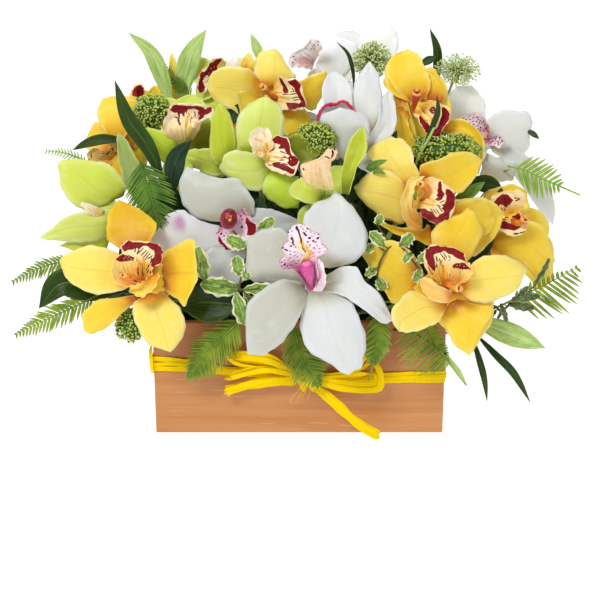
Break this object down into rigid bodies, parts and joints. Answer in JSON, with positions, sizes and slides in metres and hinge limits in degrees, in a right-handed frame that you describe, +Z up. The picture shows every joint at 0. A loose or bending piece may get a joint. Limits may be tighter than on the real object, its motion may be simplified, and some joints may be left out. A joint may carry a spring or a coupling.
{
  "type": "cymbidium orchid arrangement in wooden box",
  "caption": "Cut cymbidium orchid blooms in yellow, lime and white with fern, ruscus and bud sprigs, set in floral foam in a rectangular wooden box tied with yellow raffia.",
  "frame": {"origin": "centre of the underside of the wooden box, where it rests on a table", "axes": "+X to the viewer's right along the box's long side, +Y away from the viewer, +Z up"},
  "size_m": [0.4724, 0.2579, 0.3223],
  "materials": {
    "pine_front": "satin stained pine",
    "pine_side": "satin stained pine",
    "foam": "open-cell foam, wet",
    "raffia": "dyed, fibrous, slight sheen",
    "petal_yellow": "satin, waxy petal",
    "petal_lime": "satin, waxy petal",
    "petal_white": "satin, waxy petal",
    "leaf_dark": "glossy leaf",
    "leaf_light": "satin leaf",
    "frond": "matte frond",
    "buds": "matte green buds",
    "variegated": "green leaf with cream edge"
  },
  "bodies": {
    "root": {"box_front": "pine_front", "box_back": "pine_front", "box_left": "pine_side", "box_right": "pine_side", "box_bottom": "pine_side", "floral_foam": "foam", "raffia_band": "raffia", "raffia_bow": "raffia", "raffia_tail_left": "raffia", "raffia_tail_right": "raffia", "yellow_front_left": "petal_yellow", "yellow_front_right": "petal_yellow", "yellow_mid_right": "petal_yellow", "yellow_right": "petal_yellow", "yellow_top_right": "petal_yellow", "yellow_top_left": "petal_yellow", "yellow_left_back": "petal_yellow", "yellow_far_left": "petal_yellow", "lime_top_left": "petal_lime", "lime_left": "petal_lime", "lime_upper_left": "petal_lime", "lime_centre": "petal_lime", "lime_centre_right": "petal_lime", "white_front": "petal_white", "white_mid_left": "petal_white", "white_centre_back": "petal_white", "white_right_back": "petal_white", "white_top_back": "petal_white", "yellow_back": "petal_yellow", "white_back": "petal_white", "lime_back": "petal_lime", "ruscus_left": "leaf_dark", "ruscus_left_light": "leaf_light", "ruscus_centre_left": "leaf_dark", "ruscus_top_right": "leaf_dark", "ruscus_top_thin": "leaf_dark", "ruscus_bottom_left": "leaf_dark", "ruscus_front_left": "leaf_dark", "ruscus_mid_right": "leaf_light", "ruscus_low_right": "leaf_light", "ruscus_back": "leaf_dark", "fern_left_upper": "frond", "fern_left_lower": "frond", "fern_centre_left": "frond", "fern_right_upper": "frond", "fern_right_lower": "frond", "fern_front_left": "frond", "fern_front_centre": "frond", "fern_front_right": "frond", "fern_front_far_right": "frond", "fern_back": "frond", "buds_left": "buds", "buds_centre": "buds", "buds_top": "buds", "buds_right": "buds", "buds_top_right": "buds", "buds_low_left": "buds", "pittosporum_left": "variegated", "pittosporum_right": "variegated", "pittosporum_low_right": "variegated"}
  },
  "joints": []
}
